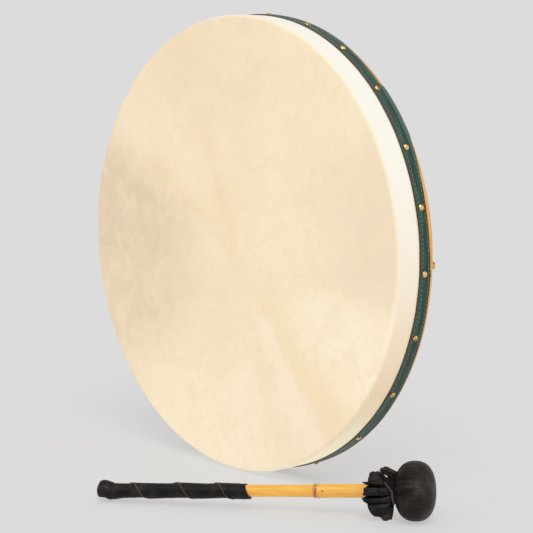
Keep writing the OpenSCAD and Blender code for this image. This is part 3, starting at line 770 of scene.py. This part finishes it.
def stitches():
    """Two rows of stitches along the tape, each stitch a short arched thread."""
    pitch, share, thick = 5.2 * MM, 0.72, 0.4 * MM
    count = round(2 * math.pi * SKIN_R / pitch)
    sides, rings = 6, 6
    t = np.linspace(-1, 1, rings)
    round_thread = ring(sides)
    dice = random.Random(5)
    points, faces = [], []
    for row in (0, 1):
        for i in range(count):
            uneven = 0.03 * dice.uniform(-1, 1)
            middle = -math.pi + 2 * math.pi * (i + 0.5 * row + uneven) / count
            slant = dice.uniform(-0.12, 0.12) * MM
            angle = middle + math.pi * share / count * t
            front, rear = tape_edges(angle)
            depth = (front + SEAM_FRONT if row == 0 else rear - SEAM_REAR) + slant * t
            radius = tape_height(angle, depth) + thick * (0.55 - 0.75 * t ** 4)
            fat = (thick * (1 - 0.55 * t ** 6))[:, None]
            radius = radius[:, None] + fat * np.sin(round_thread)
            depth = depth[:, None] + fat * np.cos(round_thread)
            wide = np.broadcast_to(angle[:, None], radius.shape)
            faces += tube_faces(rings, sides, start=len(points))
            points += list(drum_points(wide, radius, depth).reshape(-1, 3))
    make("tape_stitches", points, faces, ["stitch_thread"], "drum")


# The beater's stick

def bamboo_stick():
    """The bamboo: a little out of round, with the two lips of its node and a bud scar."""
    places = np.unique(np.round(np.concatenate([
        np.linspace(STICK_START, STICK_END, 110), NODE_AT + np.linspace(-8, 8, 49) * MM,
        SCAR_AT + np.linspace(-2.4, 2.4, 13) * MM]), 5))
    columns = 72
    s, a = np.meshgrid(places, ring(columns), indexing="ij")
    base = STICK_R + (FAR_R - STICK_R) * smooth(s, NODE_AT - 3 * MM, NODE_AT + 3 * MM)
    lips = 0.75 * MM * (bell(s, NODE_AT - 1.6 * MM, 1.1 * MM)
                        + 0.8 * bell(s, NODE_AT + 2 * MM, 1.5 * MM))
    lips *= 1 + 0.45 * ring_noise(a, s, 2.2, 300, 4)
    groove_at = NODE_AT + 0.1 * MM + 0.6 * MM * np.sin(a * 2)
    groove = -0.45 * MM * bell(s, groove_at, 0.7 * MM)
    swell = 0.35 * MM * bell(s, NODE_AT, 9 * MM)
    around = half_turn(np.degrees(a) - SCAR_DEGREES) * DEGREE * STICK_R
    from_scar = np.hypot(around, (s - SCAR_AT) * 0.8)
    scar = 0.25 * MM * bell(from_scar, 1.2 * MM, 0.5 * MM)
    scar = scar - 0.5 * MM * bell(from_scar, 0, 0.7 * MM)
    faint = 0.05 * MM * ring_noise(a, s, 3, 40, 5)
    points = beater_points(s, base + lips + groove + swell + scar + faint, a)
    # The scar's middle is dark
    dark = np.append(from_scar[:-1] < 0.75 * MM, [False, False]).astype(int)
    make("bamboo_dressed", points, tube_faces(len(places), columns), ["bamboo", "leather_edge"],
         "beater", look_of=dark, replaces=["bamboo_stick"])


# The beater's grip

GRIP_R = 7.1 * MM
GRIP_START, GRIP_END = 15 * MM, 180 * MM
# How far the strip's cut end leans forwards on its lower side
GRIP_LEAN = 1.3 * STICK_R * math.tan(math.radians(16))
# Where the strip's seams pass the side away from the drum
SEAMS = np.array([-46.8, 1.2, 53.2, 106.7, 152.2, 202.2, 251.2]) * MM
SEAM_STEEP = 2.6 * MM
# The strip's thickness at its near edge and how much it thins out, in millimetres, and the share
# of its width that shows the cut
STRIP_EDGE_T, STRIP_THINS = 2.05, 0.85
CUT_SHARE = 0.02


def seam_place(turn, a):
    """The distance along of the strip's edge, after so many turns, at an angle round the stick."""
    share = turn + (a - math.pi) / (2 * math.pi)
    along = np.interp(share, np.arange(len(SEAMS)), SEAMS)
    return along - SEAM_STEEP * np.sin(a - math.pi)


def strip_height(share, s, a):
    """How far the strip's outer side lies above GRIP_R, by the share across the strip."""
    thick = (STRIP_EDGE_T - STRIP_THINS * smooth(share, 0, 0.95)) * MM
    flatter_top = 0.75 * MM * smooth(s, 150 * MM, 180 * MM) * np.sin(a)
    rolled_edge = 0.4 * MM * bell(share, 0.04, 0.045)
    wrinkle = 0.34 * MM * ring_noise(a + 3 * s / (50 * MM), s, 4, 110, 6)
    bulge = 0.35 * MM * ring_noise(a, s, 1.2, 26, 8)
    bulge = bulge + 1.3 * MM * bell(s, 21 * MM, 6 * MM) * bell(a, 1.5 * math.pi, 0.8)
    return thick - flatter_top + rolled_edge + wrinkle + bulge


def grip_wrap():
    """The leather strip wound round the stick: each turn's thick edge lies on the last turn."""
    columns = 128
    a = ring(columns)
    end = GRIP_END - GRIP_LEAN * np.sin(a)
    steps = np.concatenate([[0, 0.004, 0.012, 0.024], np.linspace(0.045, 1, 30)])
    bore, under_edge = GRIP_R - 0.1 * MM, 1.1 * MM
    places, radii = [], []
    for turn in range(len(SEAMS) - 1):
        near, far = seam_place(turn, a), seam_place(turn + 1, a)
        width = np.maximum(far - near, MM)
        first = np.clip((GRIP_START - near) / width, 0, 1)
        last = np.clip((end - near) / width, 0, 1)
        for t in steps:
            share = np.clip(t, first, last)
            s = np.clip(near + width * share, GRIP_START, end)
            places.append(s)
            radii.append(GRIP_R + np.where(share > 0, strip_height(share, s, a), under_edge))
    points = np.concatenate([
        beater_points(np.array(places), np.array(radii), a),
        beater_points(GRIP_START, bore, a), beater_points(end, bore, a)])

    # A row goes once round the stick and goes on in the same row of the next turn
    rows, turn_rows, final = len(places), len(steps), columns - 1
    faces = grid_faces(rows, columns)
    cut = [int(step < CUT_SHARE) for step in steps]
    looks = [cut[i % turn_rows] for i in range(rows - 1) for _ in range(final)]
    for i in range(rows - 1 - turn_rows):
        here, there = i * columns, (i + turn_rows) * columns
        faces.append([here + final, there, there + columns, here + columns + final])
        looks.append(cut[i % turn_rows])

    # The near end, the cut end and the bore between them
    top, low, high = (rows - 1) * columns, rows * columns, (rows + 1) * columns
    for one, other in ((low, 0), (top, high), (high, low)):
        faces += [[one + k, one + k + 1, other + k + 1, other + k] for k in range(final)]
    faces += [[low + final, low, 0, turn_rows * columns, final],
              [top + final, top - turn_rows * columns + final, top, high, high + final],
              [high + final, high, low, low + final]]
    looks += [0] * (len(faces) - len(looks))
    grip = make("grip_dressed", points, faces, ["black_leather", "leather_edge"], "beater",
                look_of=looks, replaces=["grip_wrap"])
    merge_points(grip)


# The butt's upper and lower outline from its middle: distance along the beater and radius, in
# millimetres
CAP_TOP = [(0.3, 0.3), (0.5, 4), (1.6, 8), (4.3, 11.2), (7, 12.1), (10, 11.8), (14, 10.8),
           (17, 9.6), (18.6, 9.3)]
CAP_LOW = [(0.3, 0.3), (0.4, 4), (0.9, 6.4), (2.2, 7.8), (4.5, 8.2), (8, 8.4), (12, 9.3),
           (16, 10.1), (18.6, 9.9)]


def end_cap():
    """The leather folded over the butt and bunched under the first turn of the strip."""
    rows, columns = 56, 96
    top_s, top_r, low_s, low_r = two_edges(CAP_TOP, CAP_LOW, rows)
    up = (1 + np.sin(ring(columns))) / 2
    s, r = low_s + (top_s - low_s) * up, low_r + (top_r - low_r) * up
    a = np.broadcast_to(ring(columns), s.shape)
    off_middle = smooth(r, 4 * MM, 8 * MM)
    fold_at = 8 * MM - 5 * MM * np.sin(a)
    fold = 0.8 * MM * (smooth(s, fold_at - 0.3 * MM, fold_at + 0.4 * MM) - 0.6)
    lumps = 0.45 * MM * ring_noise(a, s, 1.5, 90, 10)
    lumps = lumps + 0.3 * MM * ring_noise(a, s, 4.5, 260, 11)
    r = np.minimum(r + off_middle * (fold + lumps), above_floor(s, a))
    inner = beater_points(s[-1], GRIP_R + 0.1 * MM, a[-1])
    points = np.concatenate([beater_points(s, r, a), inner])
    make("grip_cap_dressed", points, tube_faces(rows + 1, columns), ["black_leather"], "beater",
         replaces=["grip_end_cap"])


# The beater's head: its radius, half its length and how much further it reaches to the neck

HEAD_R, HEAD_HALF, NECK_REACH = 33.5 * MM, 21.5 * MM, 2.6 * MM
# How square it is, the share of the radius that its leather keeps, and the angle it ends at
HEAD_POWER, HEAD_SNUG, HEAD_DEGREES = 2.4, 0.994, 157
# The ball's last three rings: how far each lies from the tie and outside the neck's radius, in
# millimetres, and how much they rise over the neck's top
NECK_RINGS = np.array([(3.5, 0.4), (1, -0.1), (-3, -0.3)]) * MM
NECK_RISE = 1.8 * MM
GATHERS = 21


def tie_place(a):
    """Where the tie lies along the beater: at the neck, and further back over its top."""
    return NECK_AT + 1 * MM - 9 * MM * smooth(np.sin(a), 0.1, 1)


def head_ball():
    """The padded ball: one round of leather drawn over the felt and gathered at the neck."""
    rows, columns, neck = 120, 252, len(NECK_RINGS)
    angle = ring(columns)
    degrees = np.linspace(0.4, HEAD_DEGREES, rows)
    cosine, sine = np.cos(np.radians(degrees)), np.sin(np.radians(degrees))
    power = 2 / HEAD_POWER
    half = HEAD_HALF + NECK_REACH * (cosine < 0)
    s = np.append(HEAD_AT + half * np.sign(cosine) * np.abs(cosine) ** power, NECK_RINGS[:, 0])
    r = np.append(HEAD_R * sine ** power, NECK_R + NECK_RINGS[:, 1])
    share = np.append(degrees / HEAD_DEGREES, np.ones(neck))
    s, a = np.meshgrid(s, angle, indexing="ij")
    r = np.broadcast_to(r[:, None], s.shape).copy()
    share = np.broadcast_to(share[:, None], s.shape)
    r[-neck:] += NECK_RISE * smooth(np.sin(angle), 0.2, 0.9)
    behind_ball = s[-neck - 1] - 0.3 * MM
    s[-neck:] = np.minimum(behind_ball, tie_place(angle) + NECK_RINGS[:, :1])
    uneven = GATHERS * a + 1.6 * np.sin(2 * a + 1) + 1.1 * np.sin(5 * a)
    uneven = uneven + 2.2 * ring_noise(a, share, 1.3, 1.2, 12)
    pleat = np.abs(np.sin(uneven / 2)) ** 0.7 - 0.65
    reach = smooth(share, 0.36, 0.95) ** 1.5
    lengths = 0.75 + 0.6 * ring_noise(a, share * 0, 4, 1, 13)
    gathers = 1.9 * MM * pleat * reach * np.clip(lengths, 0.2, 1.3)
    dents = 0.55 * MM * ring_noise(a, share, 1.1, 2.4, 14) * smooth(share, 0, 0.2)
    creases = 0.10 * MM * ring_noise(a, share, 6, 4, 15) * (0.3 + reach)
    r = np.minimum(HEAD_SNUG * r + gathers + dents + creases, above_floor(s, a))
    uv = np.stack([a * HEAD_R, share * HEAD_R * math.pi], -1).reshape(-1, 2)
    ball = make("head_ball", beater_points(s, r, a), flipped(tube_faces(len(s), columns)),
                ["ball_leather"], "beater", uv=uv,
                replaces=["head_leather"])


# The frill's folds, from the drum's side up over the top: degrees, 1 for a ridge to -1 for a
# valley, and in millimetres how far its rim lies behind the neck, and its rim's radius
FRILL = [
    (8, -1, 16, 17), (26, 1, 19, 23), (44, -1, 15, 17), (62, 1, 20, 22), (78, -1, 18, 18),
    (92, 1, 23, 21), (106, 1, 25, 21.3), (128, 0, 25.5, 20), (134.5, 0, 25, 20),
    (138.5, 0.6, 31.5, 22.3), (142.5, -0.5, 26, 18.5), (147, -1, 28, 15), (154, 1, 30, 18.5),
    (180, 1, 31, 18), (189, -1, 27, 13.5), (198, 1, 33, 18), (211, 0.6, 29, 18.7),
    (221, -1, 27, 17), (228, 1, 26, 23), (240, 1, 20, 28.5), (246, -1, 14.5, 29.5),
    (252, 1, 9.5, 33.5), (257, -0.8, 7.5, 30.5), (262, 1, 4.5, 33.5), (271, -1, 6, 27),
    (288, 1, 9, 26), (302, -1, 9, 20), (318, 1, 13, 25), (332, -1, 14, 18), (348, 1, 17, 22),
]
FRILL_FOLD = 2.1 * MM
# Between these degrees the folds show the leather's rough side
TURNED_FROM, TURNED_TO = 246, 262


def frill():
    """The leather's free edge behind the tie: flat panels between ridges and valleys."""
    rows, per_fold = 16, 7
    columns = []
    for here, following in zip(np.array(FRILL), np.roll(FRILL, -1, axis=0)):
        step = following - here
        step[0] %= 360
        columns += [here + step * t for t in np.arange(per_fold) / per_fold]
    degrees, fold, behind, rim_r = np.array(columns).T
    angle = np.radians(degrees)
    u = np.linspace(0, 1, rows)[:, None]
    ragged = 1.1 * ring_noise(angle, 0, 14, 1, 16) + 0.8 * ring_noise(angle, 0, 40, 1, 17)
    rim_s = NECK_AT - (behind - ragged) * MM
    rim_r = (rim_r + 0.5 * ragged) * MM
    start_s, start_r = tie_place(angle) - 1.2 * MM, NECK_R - 0.9 * MM
    s = start_s + (rim_s - start_s) * u ** 1.2
    r = start_r + (rim_r - start_r) * u ** 0.6
    r = r + FRILL_FOLD * fold * np.sqrt(np.clip(np.sin(math.pi * u), 0, 1))
    a = angle + 0.06 * u * np.sin(3 * angle)
    s = s + 0.6 * MM * ring_noise(a, s, 8, 240, 18) * u
    r = r + 1.9 * MM * ring_noise(a, s, 5, 110, 19) * np.sin(math.pi * u ** 0.7 * 0.75)
    r = np.maximum(np.minimum(r, above_floor(s, a, 0.7 * MM)), STICK_R + 1.6 * MM)
    turned = (degrees >= TURNED_FROM) & (degrees < TURNED_TO)
    piece = make("head_frill", beater_points(s, r, a),
                 grid_faces(rows, len(angle), wrap_columns=True),
                 ["black_leather", "turned_leather"], "beater",
                 look_of=np.tile(turned.astype(int), rows - 1))
    thicken(piece, 1.1 * MM)


def neck_tie():
    """The thin cord round the neck: two turns side by side, and both ends tucked under."""
    turns, per_turn, sides = 2, 96, 10
    cord_r, pitch, tuck = 0.6 * MM, 1.3 * MM, 1.2 * MM
    count = turns * per_turn + 1
    t = np.arange(count) / per_turn
    a = 2 * math.pi * t + math.pi / 2
    s = tie_place(a) + (t - turns / 2) * pitch
    r = NECK_R + 0.1 * MM + cord_r + 0.25 * MM * np.sin(3 * a)
    r = r - tuck * (bell(t, 0, 0.04) + bell(t, turns, 0.04))
    s = s[:, None] + cord_r * np.cos(ring(sides))
    r = r[:, None] + cord_r * np.sin(ring(sides))
    make("tie_dressed", beater_points(s, r, a[:, None]), tube_faces(count, sides), ["tie_cord"],
         "beater", replaces=["neck_tie"])


# The tail's upper and lower edge from its root to its tip: distance along the beater and height,
# in millimetres
TAIL_TOP = [(353, 20), (349, 22.3), (344, 25), (340.3, 27), (335, 27.8)]
TAIL_LOW = [(349, 8.5), (346, 11), (340.3, 14.6), (336.5, 17.4), (332.6, 22.6)]


def tie_tail():
    """The leather tail that stands back over the neck: pleated lengthwise, with a torn end."""
    rows, columns = 22, 31
    u = np.linspace(0, 1, rows)[:, None]
    v = np.linspace(-1, 1, columns)[None, :]
    top_s, top_z, low_s, low_z = two_edges(TAIL_TOP, TAIL_LOW, rows)
    share = (v + 1) / 2
    torn = MM * (2 * np.sin(6.2 * v + 2.4) + 0.8 * np.sin(19 * v)) * smooth(u, 0.5, 1)
    s = low_s + (top_s - low_s) * share + torn
    z = low_z + (top_z - low_z) * share
    pleats = 1.6 * np.cos(2.3 * math.pi * v) * (0.35 + 0.65 * u)
    y = MM * (3 + pleats - 3.5 * u - 2 * v)
    points = np.stack(np.broadcast_arrays(s, y, z), -1).reshape(-1, 3)
    piece = make("tail_dressed", points, grid_faces(rows, columns), ["turned_leather"], "beater",
                 replaces=["tie_tail"])
    thicken(piece, 1 * MM)


# The camera and the light. The picture's size and the focal length are in pixels

PICTURE = 533
FOCAL_LENGTH = 1592.2
SENSOR = 36
SEEN_TO = 200
CAMERA_AT = CENTRE + Vector((1.4712, -1.2669, 0.2110))
LOOK_ROUND, LOOK_DOWN = math.radians(48.009), math.radians(6.97)


def link(name, data):
    """A new object of the scene."""
    made = bpy.data.objects.new(name, data)
    SCENE.collection.objects.link(made)
    return made


def face_towards(thing, direction):
    """Turns a camera or a lamp, which look along their own -Z."""
    thing.rotation_mode = "QUATERNION"
    thing.rotation_quaternion = direction.to_track_quat("-Z", "Y")


def camera():
    """The camera at the photograph's viewing angle."""
    data = bpy.data.cameras.new("camera")
    data.sensor_width = SENSOR
    data.lens = FOCAL_LENGTH * SENSOR / PICTURE
    data.clip_end = SEEN_TO
    eye = link("camera", data)
    eye.location = CAMERA_AT
    face_towards(eye, Vector((
        -math.sin(LOOK_ROUND) * math.cos(LOOK_DOWN),
        math.cos(LOOK_ROUND) * math.cos(LOOK_DOWN),
        -math.sin(LOOK_DOWN))))
    SCENE.camera = eye


BACKGROUND, WHITE = srgb(220, 220, 220), (1, 1, 1, 1)
WORLD_LIGHT = 0.70
KEY_LIGHT, KEY_WIDTH, KEY_TOWARDS = 1.29, math.radians(38), Vector((-0.46, 0.41, -0.78))
# The floor's tone for light that bounces off it, and the share of that light that the floor gives
# off as its own glow, lighting the object though it is no lamp
FLOOR_BOUNCE, FLOOR_GLOW_SHARE = 0.95, 0.6
# How much of the shadow is seen, and how bright the lamps make a white floor
SHADOW_SHOWN, FLOOR_LIT = 0.35, 1.022
FLOOR_RADIUS, FLOOR_SIDES = 60, 64


def seen_directly(tree):
    """1 for what the camera, a reflection or glass shows, and 0 for the light itself."""
    rays = tree.nodes.new("ShaderNodeLightPath").outputs
    seen = rays["Is Camera Ray"]
    for ray in ("Is Glossy Ray", "Is Transmission Ray"):
        seen = add_node(tree, "ShaderNodeMath", {0: seen, 1: rays[ray]}, operation="MAXIMUM")
    return seen


def mixed(tree, share, first, second):
    """A shader that goes from the first to the second by the share."""
    return add_node(tree, "ShaderNodeMixShader", {0: share, 1: first, 2: second})


def world():
    """A plain world: even light, and the background's tone where it is seen."""
    made = bpy.data.worlds.new("studio")
    SCENE.world = made
    made.use_nodes = True
    tree = made.node_tree
    tree.nodes.remove(tree.nodes["Background"])
    light = add_node(tree, "ShaderNodeBackground", {"Color": WHITE, "Strength": WORLD_LIGHT})
    shown = add_node(tree, "ShaderNodeBackground", {"Color": BACKGROUND})
    surface = mixed(tree, seen_directly(tree), light, shown)
    tree.links.new(surface, tree.nodes["World Output"].inputs[0])


def floor_look():
    """A floor that shows the background's tone with a pale shadow, and glows for the light it sends
    to the object.
    """
    material = bpy.data.materials.new("floor")
    material.use_nodes = True
    tree = material.node_tree
    tree.nodes.remove(tree.nodes["Principled BSDF"])
    plain = add_node(tree, "ShaderNodeEmission", {"Color": BACKGROUND})
    tone = BACKGROUND[0] / FLOOR_LIT
    lit = add_node(tree, "ShaderNodeBsdfDiffuse", {"Color": (tone, tone, tone, 1)})
    diffuse = add_node(tree, "ShaderNodeBsdfDiffuse", {"Color": (FLOOR_BOUNCE,) * 3 + (1,)})
    # Glow that lights the object from the floor, though the floor is no lamp
    glow = add_node(tree, "ShaderNodeEmission", {"Color": WHITE})
    bounce = mixed(tree, FLOOR_GLOW_SHARE, diffuse, glow)
    shown = mixed(tree, SHADOW_SHOWN, plain, lit)
    surface = mixed(tree, seen_directly(tree), bounce, shown)
    tree.links.new(surface, tree.nodes["Material Output"].inputs[0])
    return material


def studio():
    """The world, the floor and one soft sun."""
    world()
    mesh = bpy.data.meshes.new("floor")
    rim = [(FLOOR_RADIUS * math.cos(a), FLOOR_RADIUS * math.sin(a), 0) for a in ring(FLOOR_SIDES)]
    mesh.from_pydata(rim, [], [list(range(FLOOR_SIDES))])
    mesh.materials.append(floor_look())
    link("floor", mesh)
    data = bpy.data.lights.new("key", "SUN")
    data.energy, data.angle = KEY_LIGHT, KEY_WIDTH
    face_towards(link("key", data), KEY_TOWARDS)


camera()
studio()
dress_nodes()
hide("front_skin_dressed", "front_skin", FACE_LOW.y, 1, SKIN_HIGH.y - FACE_LOW.y,
     ["front_head", "front_collar"])
hide("rear_skin_dressed", "rear_skin", REAR_HIGH.y, -1, REAR_HIGH.y - REAR_LOW.y,
     ["back_head", "back_collar"])
edge_tape()
stitches()
bamboo_stick()
grip_wrap()
end_cap()
neck_tie()
head_ball()
frill()
tie_tail()

SCENE.view_settings.view_transform = "Standard"
